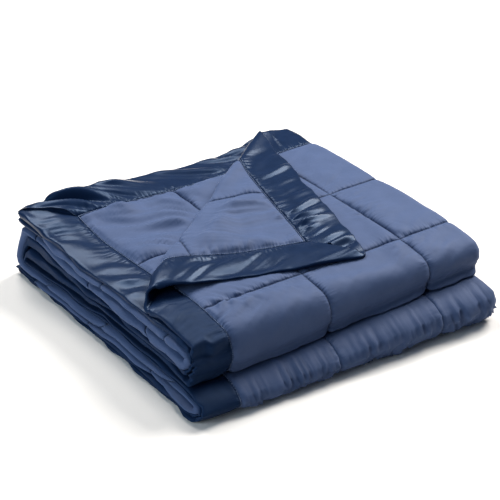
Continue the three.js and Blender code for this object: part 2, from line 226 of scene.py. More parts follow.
# %% [markdown]
# ## The slump
# A neat stack looks like a box. The real one has sunk: its left face is uneven, its back is lower, the
# upper front turn is round-shouldered and the lower one sticks out. A physics run would sink it in its
# own way, not in the photo's. So points are moved by smooth amounts that never fold back. A pair such as
# BACK_DROP's y says where a change starts and over what length it comes in.

# %% Left face
STATIONS = [40.0, 200.0, 350.0, 520.0]
# For each level of the neat stack: its height at the stations, and how far it is set back there
LEFT_FACE = [
    (HIGH, [129, 122, 117, 133], [15, 12, 8, 0]),
    (HIGH - PITCH, [120, 112, 106, 124], [10, 10, 9, -3]),
    (HIGH - 2 * PITCH, [110, 103, 97, 106], [9, 7, 5, 2]),
    (HIGH - TURN, [100, 91, 87, 94], [5, 7, 6, 6]),
    (HIGH - 2 * TURN + 2 * PITCH, [88, 77, 74, 84], [0, 0, 3, 5]),
    (HIGH - 2 * TURN + PITCH, [78, 67, 62, 61], [2, 1, -1, 2]),
    (HIGH - 2 * TURN - AIR / 2, [66, 54, 45, 36], [0, -2, -3, -6]),
    (2 * TURN - PITCH, [57, 48, 40, 31], [-4, -3, -5, -5]),
    (2 * TURN - 2 * PITCH, [46, 37, 30, 24], [-2, 2, 0, -3]),
    (TURN, [34, 25, 19, 15], [-6, -3, -6, -8]),
    (2 * PITCH, [23, 16, 11, 10], [-8, -6, -5, -8]),
    (PITCH, [11, 8, 5, 5], [-12, -6, -6, -7]),
    (0.0, [0, 0, 0, 0], [-10, -6, -5, -5]),
]
LEFT_REACH = {"front": 120.0, "back": 220.0, "edge": 60.0}


def at_station(values, y):
    value = values[0] + 0 * y
    for i in range(len(STATIONS) - 1):
        share = eased(y, STATIONS[i], STATIONS[i + 1] - STATIONS[i])
        value = value + (values[i + 1] - values[i]) * share
    return value


def left_face(y, z):
    """How high the level z has come to lie on the left face, and how far it is set back."""
    levels = [(level, at_station(heights, y), at_station(backs, y)) for level, heights, backs in LEFT_FACE]
    level, height, set_back = levels[0]
    height = height + z - level
    for (upper, up_height, up_back), (lower, low_height, low_back) in zip(levels, levels[1:]):
        f = (z - lower) / (upper - lower)
        height = np.where(z < upper, mix(low_height, up_height, f), height)
        set_back = np.where(z < upper, mix(low_back, up_back, f), set_back)
    return height, set_back


print("left face sinks by", round(HIGH - float(left_face(STATIONS[2], HIGH)[0])), "mm near its middle")

# %% Slump
BACK_DROP = {"share": 0.11, "y": (180.0, 370.0), "less": 0.5, "less_x": (350.0, 200.0)}
CORNER_LIFT = {"share": 0.15, "y": (360.0, 190.0), "z": (50.0, 60.0)}
CORNER_RISES, CORNER_FALLS = (0.0, 120.0), (120.0, 260.0)
TOP_WAVE = {"share": 0.012, "x": 95.0, "y": 80.0}
SHOULDER = {"drop": 10.0, "y": (0.0, 110.0)}
SAG = {"drop": 20.0, "x": (100.0, 450.0), "y": (0.0, 230.0)}
LOW_HALF = {"z": (48.0, 32.0), "y": (0.0, 190.0), "out": 42.0, "more_at_right": 20.0}
LOW_LEFT = {"by": 18.0, "x": (0.0, 110.0)}
LOW_RIGHT = {"by": 4.0, "x": (WIDE - 150.0, 150.0)}
RIGHT_OUT = {"by": 14.0, "x": (250.0, 300.0)}


def height_share(x, y, z, near_left):
    less = 1 - BACK_DROP["less"] * eased(x, *BACK_DROP["less_x"])
    drop = BACK_DROP["share"] * eased(y, *BACK_DROP["y"]) * (1 - near_left) * less
    near_corner = eased(x, *CORNER_RISES) * (1 - eased(x, *CORNER_FALLS))
    lift = CORNER_LIFT["share"] * eased(y, *CORNER_LIFT["y"]) * near_corner * eased(z, *CORNER_LIFT["z"])
    wave = TOP_WAVE["share"] * np.sin(x / TOP_WAVE["x"]) * np.sin(y / TOP_WAVE["y"])
    return 1 - drop + lift + wave


def front_drop(x, y, z):
    level = np.minimum(z / HIGH, 1)
    shoulder = SHOULDER["drop"] * (1 - eased(y, *SHOULDER["y"])) * level**3
    sag = SAG["drop"] * (1 - eased(x, *SAG["x"])) * (1 - eased(y, *SAG["y"]))
    return shoulder + sag * np.sin(math.pi * level)


def slump(x, y, z):
    height, set_back = left_face(y, z)
    towards_back = eased(y, STATIONS[2], STATIONS[3] - STATIONS[2])
    near_left = 1 - smooth(x / mix(LEFT_REACH["front"], LEFT_REACH["back"], towards_back))
    low, front = 1 - eased(z, *LOW_HALF["z"]), 1 - eased(y, *LOW_HALF["y"])
    new_x = x + set_back * (1 - eased(x, 0, LEFT_REACH["edge"])) + RIGHT_OUT["by"] * eased(x, *RIGHT_OUT["x"])
    new_x = new_x + low * LOW_RIGHT["by"] * eased(x, *LOW_RIGHT["x"])
    new_x = new_x - low * LOW_LEFT["by"] * eased(x, *LOW_LEFT["x"]) * front
    new_y = y - low * front * (LOW_HALF["out"] + LOW_HALF["more_at_right"] * eased(x, 0, WIDE))
    new_z = mix(z, height, near_left) * height_share(x, y, z, near_left) - front_drop(x, y, z)
    return new_x, new_y, new_z


def place(s, t, h):
    """Where the point (s, t) of the flat blanket lies, h to face A's side of its middle, in millimetres."""
    s, t, h = np.broadcast_arrays(*(np.asarray(v, float) for v in (s, t, h)))
    x, depth, side, up = across_layers(s)
    run, y, z = along_panels(t, depth, depth - h * up)
    x = x + h * side
    top = (s < OUTER_X) & (run == 0)
    turned = turn_corner(x, y, z - h, h)
    x, y, z = (np.where(top, new, old) for new, old in zip(turned, (x, y, z)))
    return np.stack(slump(x, y, z - PRESSED), axis=-1) - MIDDLE


print("back left corner of the second layer", place(SIDE, 0, 0).round(1))

# %% [markdown]
# ## Waves and noise
# Cloth never lies flat: the stack's faces wander in and out, and the cloth puckers and creases. Sculpting
# could do both, but couldn't be run again. So each is a height from smooth noise, read from one seeded
# table. A number that is added to its place only picks another part of the table.

# %% Noise
TABLE_SIZE = 256
TABLE = np.random.default_rng(11).uniform(-1, 1, (TABLE_SIZE, TABLE_SIZE))


def noise(u, v):
    i, j = np.floor(u).astype(int), np.floor(v).astype(int)
    fu, fv = smooth(u - i), smooth(v - j)

    def pick(a, b):
        return TABLE[a % TABLE_SIZE, b % TABLE_SIZE]

    low = mix(pick(i, j), pick(i + 1, j), fu)
    high = mix(pick(i, j + 1), pick(i + 1, j + 1), fu)
    return mix(low, high, fv)


print("noise table starts with", TABLE[0, :3].round(3))

# %% Waves of the stack's faces
EDGE_WAVE = {"across": 45.0, "along": 38.0, "layer": 5.0, "out": 3.2, "right_share": 0.5}
EDGE_LIFT = {"up": 2.4, "swell": 55.0, "stack": 24.0}
FRONT_WAVE = {"more": 1.2, "y": (0.0, 90.0)}
PEAK = {"high": 10.0, "along": (330.0, 120.0), "wide": 38.0, "right": 20.0, "z": (100.0, 16.0)}


def settled(s, t, h):
    """The placed point, with waves in and out by layer, up along the left, and the corner's peak."""
    points = place(s, t, h)
    x, y, z = np.moveaxis(points + MIDDLE, -1, 0)
    near_left = 1 - eased(x, 0, EDGE_WAVE["across"])
    near_right = eased(x, OUTER_X - EDGE_WAVE["across"], EDGE_WAVE["across"])
    near_front = 1 + FRONT_WAVE["more"] * (1 - eased(y, *FRONT_WAVE["y"]))
    out = EDGE_WAVE["out"] * noise(y / EDGE_WAVE["along"], z / EDGE_WAVE["layer"] + 3.5)
    up = EDGE_LIFT["up"] * noise(y / EDGE_LIFT["swell"] + 9.2, z / EDGE_LIFT["stack"])
    along, past = from_crease(x, y)
    side = np.where(past > 0, PEAK["wide"], PEAK["right"])
    peak = PEAK["high"] * eased(along, *PEAK["along"]) * np.exp(-((past / side) ** 2))
    points[..., 0] += out * (near_left * near_front - near_right * EDGE_WAVE["right_share"])
    points[..., 2] += up * near_left * eased(z, 0, EDGE_LIFT["stack"])
    points[..., 2] += peak * eased(z, *PEAK["z"])
    points[..., 2] = np.maximum(points[..., 2], 0)
    return points


print("the same corner with its waves", settled(SIDE, 0, 0).round(1))

# %% Where the cloth shows
COVER_MARGIN, SECOND_MARGIN, EASES = 4.0, 14.0, 34.0
HIDDEN, STRETCHED, ROLLED = 0.15, 0.22, 0.3
STRETCHED_T, STRETCHED_X = (DEPTH - TURN - 40.0, 80.0), (OUTER_X - 120.0, 110.0)
UNROLLED = (40.0, 30.0)


def shows(s, t):
    """How freely each face creases, 1 in the open and less between layers, and where the flap is."""
    x, depth, _, _ = across_layers(s)
    turn_end, back_start, back_end, low_start, low_end = (start_of_run(n, depth) for n in range(2, 7))
    y = DEPTH - t
    _, past = from_crease(x, y)
    mirror_x, mirror_y = x + 2 * past * CREASE_SIN, y - 2 * past * CREASE_COS
    uncovered = eased(-mirror_x, COVER_MARGIN, EASES), eased(mirror_y, DEPTH + COVER_MARGIN, EASES)
    first_layer = s < FOLD_STARTS[2]
    on_top = first_layer & (t < turn_end)
    lower_turn = first_layer & (t > low_start) & (t < low_end)
    outer_back = (s > FOLD_STARTS[2]) & (s < FOLD_STARTS[3]) & (t > back_start) & (t < back_end)
    outer_right = first_layer & (s > FOLD_STARTS[1])
    face_a = on_top & ((past < 0) | (s > OUTER_X)) | lower_turn | outer_back | outer_right
    flap = (s < OUTER_X) & (past > 0) & (t < turn_end)
    second = (s > FOLD_STARTS[-1]) & (t < turn_end) & (past > SECOND_MARGIN)
    share_a = mix(1.0, STRETCHED, np.maximum(eased(t, *STRETCHED_T), eased(x, *STRETCHED_X)))
    share_a = np.where(on_top & (past < 0), mix(HIDDEN, share_a, np.maximum(*uncovered)), share_a)
    share_b = mix(ROLLED, 1.0, eased(past, *UNROLLED))
    share_b = np.where(second, mix(HIDDEN, 1.0, eased(past, SECOND_MARGIN, EASES)), share_b)
    return np.where(face_a, share_a, HIDDEN), np.where(flap | second, share_b, HIDDEN), flap


print("shares in the open at the top's middle", [round(float(v), 2) for v in shows(np.array(300.0), 300.0)])

# %% [markdown]
# ## Quilting
# Thread holds the two faces together at the sewn lines and the fibre pushes them apart, so each box is a
# low cushion. Puckers start at every seam, long soft folds lie across a box, and the lower front turn,
# squeezed by the stack, is crinkled. A displacement texture could draw some of this, but a sum of
# heights over the flat cloth can follow each seam.

# %% Puckers and pleats at the seams
LAP = 3.0
# The cloth's two faces, told apart by their place in the noise
FACE_A, FACE_B = 0.0, 40.0
PUCKER = {"high": 4.0, "reach": 9.0, "apart": 8.0, "lean": 0.5, "patch": 34.0}
PLEATS = {"seam": BINDING + 2 * BOX, "high": 14.0, "reach": 11.0, "front": 0.15, "lean": -0.6, "apart": 6.5}
PLEATS_RISE, PLEATS_FALL, PLEATS_LONG = (95.0, 25.0), (235.0, 25.0), 40.0


def to_seam(c):
    """Distance to the nearest sewn line, or to the satin that laps over the cloth's edge."""
    in_box = (c - BINDING) / BOX
    to_lap = np.minimum(c, SIDE - c) - BINDING - LAP
    return np.minimum(np.abs(in_box - np.round(in_box)) * BOX, np.maximum(to_lap, 0))


def puckers(d, a, row, key):
    """Short creases d from a sewn line and a along it, where the thread draws the cloth in."""
    reach = d / PUCKER["reach"]
    lean = (a + PUCKER["lean"] * d) / PUCKER["apart"] + 7.3 * row
    fine = noise(lean, d / (4 * PUCKER["reach"]) + row + key)
    patch = smooth(0.5 + noise(a / PUCKER["patch"] + row, key + 0.5 * row))
    return PUCKER["high"] * reach * np.exp(1 - reach) * fine * patch


def pleats(s, t):
    """Deeper gathers behind one seam of the top, where the turned-over corner pulls at it."""
    reach = to_seam(t) / PLEATS["reach"]
    ends = eased(s, *PLEATS_RISE) * (1 - eased(s, *PLEATS_FALL))
    lean = (s + PLEATS["lean"] * t) / PLEATS["apart"] + 1.7
    behind = t > PLEATS["seam"]
    folded = noise(lean, to_seam(t) / PLEATS_LONG + 6.1 * behind) * np.where(behind, PLEATS["front"], 1.0)
    here = (np.abs(t - PLEATS["seam"]) < BOX / 2) & (s < SIDE / 2)
    return np.where(here, PLEATS["high"] * ends * reach * np.exp(1 - reach) * folded, 0)


print("seam to the middle of a box", to_seam(BINDING + 1.5 * BOX), "mm")

# %% Soft folds and crinkles
LOOSE = {FACE_A: 0.95, FACE_B: 1.9}
RUMPLE = {"high": 4.4, "wide": 13.0, "long": 150.0, "slant": 1.0, "bend": 26.0, "patch": 90.0, "least": 0.4}
RUMPLE_FINER = {"share": 0.6, "across": 2.3, "along": 2.0}
RUMPLE_ON_FLAP = {"slant": -0.38, "share": 0.38}
SWELL = {"high": 6.5, "wide": 50.0}
LOW_TURN = [start_of_run(number, TOP_LAYER) for number in (5, 6)]
CRINKLE = {"high": 5.8, "ends": 30.0, "patch": 30.0, "bare": 0.35, "spread": 1.8}
CRINKLE_BEND = {"by": 11.0, "across": 27.0, "along": 24.0}
# Width, length, lean and place in the noise of each set of ridges
CRINKLES = [(6.0, 24.0, 0.6, 0.0), (5.0, 18.0, 1.3, 4.4), (9.0, 34.0, 0.0, 8.1)]


def soft_folds(s, t, key):
    """Long low folds that slant over the boxes, with finer ones between them, and a slow swell."""
    bend = RUMPLE["bend"] * noise(s / RUMPLE["patch"] + 5.1, t / RUMPLE["patch"] + key)
    on_flap = (s < OUTER_X) & (key == FACE_B)
    slant = np.where(on_flap, RUMPLE_ON_FLAP["slant"], RUMPLE["slant"])
    u = (s * np.cos(slant) + t * np.sin(slant) + bend) / RUMPLE["wide"]
    v = (t * np.cos(slant) - s * np.sin(slant) - bend) / RUMPLE["long"]
    patch = smooth(0.5 + noise(s / RUMPLE["patch"] + key, t / RUMPLE["patch"]))
    finer = noise(RUMPLE_FINER["across"] * u + 4.7, RUMPLE_FINER["along"] * v + key)
    high = RUMPLE["high"] * mix(RUMPLE["least"], 1, patch) * np.where(on_flap, RUMPLE_ON_FLAP["share"], 1.0)
    swell = SWELL["high"] * noise(s / SWELL["wide"] + 2.3, t / SWELL["wide"] + key)
    return high * (noise(u, v + key) + RUMPLE_FINER["share"] * finer) + swell


def crinkles(s, t):
    """Leaning sets of sharp ridges, bent and patchy, on the lower front turn."""
    bent = s + CRINKLE_BEND["by"] * noise(s / CRINKLE_BEND["across"] + 1.3, t / CRINKLE_BEND["along"] + 7.7)
    height = 0
    for wide, long, lean, seed in CRINKLES:
        ridge = 0.5 - 2 * np.abs(noise((bent + lean * t) / wide + seed, t / long + seed))
        patch = noise(s / CRINKLE["patch"] + seed, t / CRINKLE["patch"] + seed)
        height = height + np.maximum(ridge, -0.5) * smooth(CRINKLE["bare"] + CRINKLE["spread"] * patch)
    ends = eased(t, LOW_TURN[0], CRINKLE["ends"]) * (1 - eased(t, LOW_TURN[1], CRINKLE["ends"]))
    return CRINKLE["high"] * height * ends


print("the lower front turn runs from", [round(t) for t in LOW_TURN])

# %% Thickness of the quilted cloth
PUFF_SHOULDER = 4.2
PLUMP = {"near": 2.6, "high": 8.0, "shoulder": 18.0}


def quilt_half(s, t, open_share, key):
    """Half of the cloth's thickness on one face: low at the seams, full in the boxes, and creased."""
    ds, dt = to_seam(s), to_seam(t)
    rise_s, rise_t = 1 - np.exp(-ds / PUFF_SHOULDER), 1 - np.exp(-dt / PUFF_SHOULDER)
    rise = rise_s * rise_t
    plump = (1 - np.exp(-ds / PLUMP["shoulder"])) * (1 - np.exp(-dt / PLUMP["shoulder"]))
    row_s, row_t = np.round((s - BINDING) / BOX), np.round((t - BINDING) / BOX)
    gathered = puckers(ds, t, row_s, key) * rise_t + puckers(dt, s, row_t, key) * rise_s
    crinkled = 0
    if key == FACE_A:
        gathered = gathered + pleats(s, t)
        crinkled = np.where(open_share > HIDDEN, crinkles(s, t) * rise, 0)
    full = PLUMP["near"] * rise + (PLUMP["high"] + LOOSE[key] * soft_folds(s, t, key)) * plump
    return mix(HALF_AT_SEAM, HALF_AT_PUFF, rise) + open_share * (full + gathered) + crinkled


middle_of_box = BINDING + 1.5 * BOX
half = quilt_half(middle_of_box, middle_of_box, HIDDEN, FACE_A)
print("half thickness between layers", round(float(half), 2), "mm")

# %% [markdown]
# ## Meshes of cloth
# Each piece of cloth is a closed skin: a grid of points on one face, the same grid on the other, and a
# wall round the rim. A plane with a Solidify modifier would be shorter, but its faces couldn't puff
# apart. Every point keeps its (s, t) as a UV, so that the weave follows the cloth through its folds.

# %% Grid lines
SEAM_GAP = 0.3
SEAM_LINES = (-2.6, -1.0, 0, 1.0, 2.6)


def lines(first, last, spacing, finer=()):
    """Grid lines from first to last, at most spacing apart, closer in the ranges listed as finer."""
    stops = [BINDING + k * BOX + off for k in range(BOXES + 1) for off in SEAM_LINES]
    stops += [v for start, end, _ in finer for v in (start, end)]
    stops = sorted({first, last, *(v for v in stops if first < v < last)})
    out = [stops[0]]
    for a, b in zip(stops, stops[1:]):
        step = min([spacing] + [gap for start, end, gap in finer if start < (a + b) / 2 < end])
        count = max(1, math.ceil((b - a) / step))
        out += [a + (b - a) * (i + 1) / count for i in range(count)]
    return np.array(out)


print("lines over one box, 5 mm apart", len(lines(BINDING, BINDING + BOX, 5.0)))

# %% Skins
MM = 0.001


def mesh_object(name, points, faces, uvs):
    mesh = bpy.data.meshes.new(name)
    mesh.from_pydata((points * MM).tolist(), [], faces)
    layer = mesh.uv_layers.new(name="cloth")
    corners = np.empty(len(mesh.loops), dtype=np.int32)
    mesh.loops.foreach_get("vertex_index", corners)
    layer.data.foreach_set("uv", (uvs[corners] / SIDE).astype(np.float32).ravel())
    mesh.shade_smooth()
    return add_object(name, mesh)


def outward(piece):
    """True if the faces of a closed mesh point outwards, by the sign of its volume."""
    mesh = piece.data
    mesh.calc_loop_triangles()
    corners = np.empty(len(mesh.loop_triangles) * 3, dtype=np.int32)
    mesh.loop_triangles.foreach_get("vertices", corners)
    points = np.empty(len(mesh.vertices) * 3)
    mesh.vertices.foreach_get("co", points)
    a, b, c = points.reshape(-1, 3)[corners.reshape(-1, 3)].transpose(1, 0, 2)
    return float((a * np.cross(b, c)).sum()) > 0


def grid_faces(rows, columns, closed_rows=False):
    faces = []
    for i in range(rows if closed_rows else rows - 1):
        near, far = i * columns, (i + 1) % rows * columns
        faces += [(near + j, far + j, far + j + 1, near + j + 1) for j in range(columns - 1)]
    return faces


def cloth_piece(name, s_lines, t_lines):
    s, t = np.meshgrid(s_lines, t_lines, indexing="ij")
    open_a, open_b, _ = shows(s, t)
    outer = settled(s, t, quilt_half(s, t, open_a, FACE_A))
    inner = settled(s, t, -quilt_half(s, t, open_b, FACE_B))
    rows, columns = s.shape
    count = rows * columns
    top = [(a, d, c, b) for a, b, c, d in grid_faces(rows, columns)]
    under = [(a + count, b + count, c + count, d + count) for a, b, c, d in grid_faces(rows, columns)]
    rim = [*range(0, count, columns), *range(count - columns + 1, count)]
    rim += [*range(count - columns - 1, 0, -columns), *range(columns - 2, 0, -1)]
    wall = [(a, b, b + count, a + count) for a, b in zip(rim, rim[1:] + rim[:1])]
    points = np.concatenate([outer.reshape(-1, 3), inner.reshape(-1, 3)])
    uvs = np.tile(np.stack([s, t], axis=-1).reshape(-1, 2), (2, 1))
    piece = mesh_object(name, points, top + under + wall, uvs)
    print(name, "faces", len(piece.data.polygons), "outward", outward(piece))
    return piece

# %% The quilted cloth
CUT = BINDING + 3 * BOX
CLOTH_FIRST, CLOTH_LAST = BINDING + SEAM_GAP / 2, SIDE - BINDING - SEAM_GAP / 2
FOLD_MARGIN, TURN_MARGIN = 4.0, 5.0
SHOWN, SECOND_SHOWN, INSIDE, LOWER_ACROSS, LOWER_ALONG = 3.2, 5.0, 15.0, 20.0, 16.0


def round_fold(number, gap):
    """The range of s of a fold across, and how far apart the grid lines stand there."""
    return FOLD_STARTS[number] - FOLD_MARGIN, FOLD_STARTS[number + 1] + FOLD_MARGIN, gap


def round_turn(number, gap):
    """The same for t and a turn along, from its lowest layer to the top one."""
    start, end = start_of_run(number, LOWEST_LAYER), start_of_run(number + 1, TOP_LAYER)
    return start - TURN_MARGIN, end + TURN_MARGIN, gap


OUTER_TURN, LEFT_FOLD, RIGHT_FOLD = round_fold(1, 3.0), round_fold(3, 2.2), round_fold(5, 2.8)
TURNS = [round_turn(3, 5.0), round_turn(5, 3.6)]
SECOND_FIRST = FOLD_STARTS[-1] + FOLD_MARGIN
on_second = (SECOND_FIRST, CLOTH_LAST, SECOND_SHOWN)
top_t = lines(CLOTH_FIRST, CUT, SHOWN)
top_layer = cloth_piece("quilted_cloth_top_layer", lines(CLOTH_FIRST, CUT, SHOWN, [OUTER_TURN]), top_t)
panel_s = lines(CUT, CLOTH_LAST, INSIDE, [LEFT_FOLD, RIGHT_FOLD, on_second])
top_panel = cloth_piece("quilted_cloth_top_panel", panel_s, lines(CLOTH_FIRST, CUT, SECOND_SHOWN))
finer = [(BINDING, CUT, SHOWN), OUTER_TURN, LEFT_FOLD, RIGHT_FOLD]
lower_s = lines(CLOTH_FIRST, CLOTH_LAST, LOWER_ACROSS, finer)
lower_panels = cloth_piece("quilted_cloth_lower_panels", lower_s, lines(CUT, CLOTH_LAST, LOWER_ALONG, TURNS))
CLOTH_PIECES = [top_layer, top_panel, lower_panels]

# %% [markdown]
# ## The satin binding
# The maker folds a strip of satin over the edge and sews it through all the layers, so that it laps a few
# millimetres over the quilting. It could be cloth in another colour, but then it would have no hem or
# lap. So each strip is a closed loop of points, carried along the edge to the mitred corners. Thread
# draws it in at the seam, and slanting creases cross it, tighter on the turned-over corner.

# %% Creases of satin
WANDER = {"share": 0.6, "along": 2.5, "across": 50.0}
CREASE_LONG, CREASE_PATCH, CREASE_EVERYWHERE = 95.0, 85.0, 0.4
FINER_CREASE = {"share": 0.3, "apart": 0.42, "long": 60.0}
# For each strip and face: how high its creases stand, how far apart, their slant, how far the satin
# bulges between its edge and its seam, and its place in the noise
CREASED = {
    ("left", 1): (1.5, 12.0, 0.2, 0.5, 3.1),
    ("left", -1): (6.2, 42.0, 1.3, 2.8, 13.7),
    ("right", 1): (1.5, 20.0, 0.5, 1.0, 5.7),
    ("right", -1): (2.0, 26.0, -0.5, 1.5, 15.2),
    ("back", 1): (1.8, 24.0, 0.8, 2.0, 8.3),
    ("back", -1): (6.0, 15.0, 0.35, 2.5, 18.9),
    ("far", 1): (1.0, 20.0, 0.5, 0.0, 12.9),
    ("far", -1): (1.0, 20.0, -0.5, 0.0, 22.4),
}
LONG_FOLDS = {"apart": 30.0, "slant": 1.6, "key": 31.3}
LONG_FOLDS_SHARE = 1.5
STREAKS = {"from": 290.0, "over": 150.0, "share": 2.0, "tip": (85.0, 70.0)}
SHELF = {"at": 531.0, "apart": 14.0, "wide": 6.5, "high": 3.2, "wanders": 7.0, "across": 19.0}


def satin_creases(d, a, apart, slant, key):
    """Creases that lean along the strip, wander, and split into finer ones here and there."""
    wander = noise(a / (WANDER["along"] * apart) + key, d / WANDER["across"] + 2 * key)
    lean = a + slant * d + WANDER["share"] * apart * wander
    broad = noise(lean / apart + key, d / CREASE_LONG + 3 * key)
    finer = noise(lean / (FINER_CREASE["apart"] * apart) + 2 * key, d / FINER_CREASE["long"] + key)
    patch = smooth(0.6 + noise(a / CREASE_PATCH + 4 * key, d / CREASE_PATCH))
    return patch * mix(broad, finer, FINER_CREASE["share"]) + CREASE_EVERYWHERE * broad


def strip_creases(side, face, d, a):
    """The creases of one strip's face: long folds and tighter streaks on the underside of the back one."""
    high, apart, slant, _, key = CREASED[side, face]
    wrinkled = satin_creases(d, a, apart, slant, key)
    if (side, face) == ("back", -1):
        near_tip = 1 + STREAKS["share"] * smooth((STREAKS["from"] - a) / STREAKS["over"])
        near_tip = mix(1.0, near_tip, eased(a, *STREAKS["tip"]))
        folds = LONG_FOLDS_SHARE * satin_creases(d, a, **LONG_FOLDS)
        wrinkled = np.where(a > SIDE / 2, folds, near_tip * wrinkled)
    return high * wrinkled


def shelf(d, a):
    """One crease along the left strip where it goes over the front turn: a ridge with a hollow below."""
    past = (a - SHELF["at"] + SHELF["wanders"] * noise(d / SHELF["across"] + 2.6, 0 * d)) / SHELF["wide"]
    below = past - SHELF["apart"] / SHELF["wide"]
    return SHELF["high"] * (np.exp(-(past**2)) - np.exp(-(below**2)))


print("creases on", len(CREASED), "faces of satin")

# %% Section of the binding
LAP_AIR, LAP_THICK = 0.12, 0.45
HALF_IN_BINDING, EDGE_ROUND, EDGE_HALF = 2.7, 5.0, 1.5
LAP_FROM = 34.0
LAP_UNDER = HALF_AT_SEAM + LAP_AIR
LAP_TOP = LAP_UNDER + LAP_THICK
LAP_LINES = BINDING + np.array([0.6, 1.4, 2.2, LAP])
ACROSS = np.concatenate([[0, 0.7, 2, 4, 7, 10], np.arange(13, BINDING, 3), LAP_LINES])
GATHER = {"high": 1.7, "wide": 7.5, "reach": 14.0, "grip": 2.5, "patch": 40.0, "lean": 0.4}
CREASE_ENDS = {"seam": 22.0, "edge": 18.0, "at_edge": 0.35}
BULGE_TO_SEAM, BULGE_ROUND = 1.3, 0.75


def satin_half(side, face, d, a, open_share):
    """Half of the binding's thickness on one face, d in from its free edge and a along it."""
    bulge, key = CREASED[side, face][-2:]
    round_edge = np.sqrt(np.clip(1 - (1 - np.minimum(d / EDGE_ROUND, 1)) ** 2, 0, 1))
    full = mix(EDGE_HALF, HALF_IN_BINDING, round_edge)
    base = mix(full, LAP_TOP, eased(d, LAP_FROM, BINDING - LAP_FROM))
    from_seam = np.maximum(BINDING + LAP / 2 - d, 0)
    at_edge = mix(CREASE_ENDS["at_edge"], 1, eased(d, 0, CREASE_ENDS["edge"]))
    broad = strip_creases(side, face, d, a) * eased(from_seam, 0, CREASE_ENDS["seam"]) * at_edge
    if (side, face) == ("left", 1):
        broad = broad + shelf(d, a)
    patch = smooth(0.6 + noise(a / GATHER["patch"] + key, 0.5 + 0 * d))
    lean = (a + GATHER["lean"] * from_seam) / GATHER["wide"] + key
    fine = noise(lean, from_seam / (4 * GATHER["reach"]) + key)
    gather = GATHER["high"] * fine * patch * np.exp(-from_seam / GATHER["reach"])
    bulge = bulge * np.sin(math.pi * np.clip(d / BINDING, 0, 1) ** BULGE_TO_SEAM) ** BULGE_ROUND
    held = 1 - np.exp(-from_seam / GATHER["grip"])
    return base + open_share * held * (broad + gather + bulge)


print("points across a strip's face", len(ACROSS))

# %% Edges and corners of the binding
MITRE, CORNER_ROUND = 80.0, 13.0
DROOP = {"high": 1.8, "wide": 46.0}
SCALLOP = {"deep": 3.6, "wide": 42.0, "elsewhere": 0.3, "a": (60.0, 60.0)}
FLARE = {"out": 3.0, "at": 400.0, "wide": 24.0}
TURN_CREASES = {"more": 0.5, "t": (DEPTH - TURN, 50.0)}
ON_SIDE = {
    "left": lambda d, a: (d, a),
    "right": lambda d, a: (SIDE - d, a),
    "back": lambda d, a: (a, d),
    "far": lambda d, a: (a, SIDE - d),
}


def rounded(s, t):
    """Rounds the blanket's four corners, by drawing each corner's square in to a quarter circle."""
    from_side = CORNER_ROUND - np.minimum(s, SIDE - s)
    from_end = CORNER_ROUND - np.minimum(t, SIDE - t)
    inside = (from_side > 0) & (from_end > 0)
    away = np.maximum(np.hypot(from_side, from_end), 1e-9)
    share = np.where(inside, 1 - np.maximum(from_side, from_end) / away, 0)
    return s + from_side * share * np.sign(SIDE / 2 - s), t + from_end * share * np.sign(SIDE / 2 - t)


def mitred(d, a):
    """Slides the points near both ends of a strip so that it ends along the corner's diagonal."""
    start = d + SEAM_GAP / 2
    near, far = np.clip(1 - a / MITRE, 0, 1), np.clip(1 - (SIDE - a) / MITRE, 0, 1)
    return a + near * start - far * start


def edge_waves(side, d, a, flap):
    """How far the strip's free edge wanders in, with one small flare on the left."""
    outer = 1 - eased(d, 0, BINDING)
    free = np.where(flap, 1.0, SCALLOP["elsewhere"]) * outer * eased(a, *SCALLOP["a"])
    waves = SCALLOP["deep"] * free * noise(a / SCALLOP["wide"] + CREASED[side, 1][-1], 0 * a)
    if side == "left":
        waves = waves - FLARE["out"] * outer * np.exp(-(((a - FLARE["at"]) / FLARE["wide"]) ** 2))
    return waves


def binding_heights(side, d, a, half_turn):
    """Heights of the strip's loop over the cloth's middle, on its top, its two laps and its underside."""
    s, t = ON_SIDE[side](d, a)
    open_a, open_b, flap = shows(s, t)
    at_turn = 1 + TURN_CREASES["more"] * eased(t, *TURN_CREASES["t"])
    open_a = np.where(open_a > HIDDEN, at_turn, open_a)
    top, under = satin_half(side, 1, d, a, open_a), -satin_half(side, -1, d, a, open_b)
    h = np.concatenate([top[:half_turn], top[:2] * 0, under[half_turn + 2 :]])
    h[half_turn], h[half_turn + 1] = LAP_UNDER, -LAP_UNDER
    key = CREASED[side, 1][-1]
    droop = DROOP["high"] * noise(a / DROOP["wide"] + 2 * key, key + 0 * a) * (1 - eased(d, 0, BINDING))
    return h + droop * np.where(np.maximum(open_a, open_b) > HIDDEN, 1.0, HIDDEN), flap


print("the tip of a rounded corner lies at", [round(float(v), 1) for v in rounded(0.0, 0.0)])

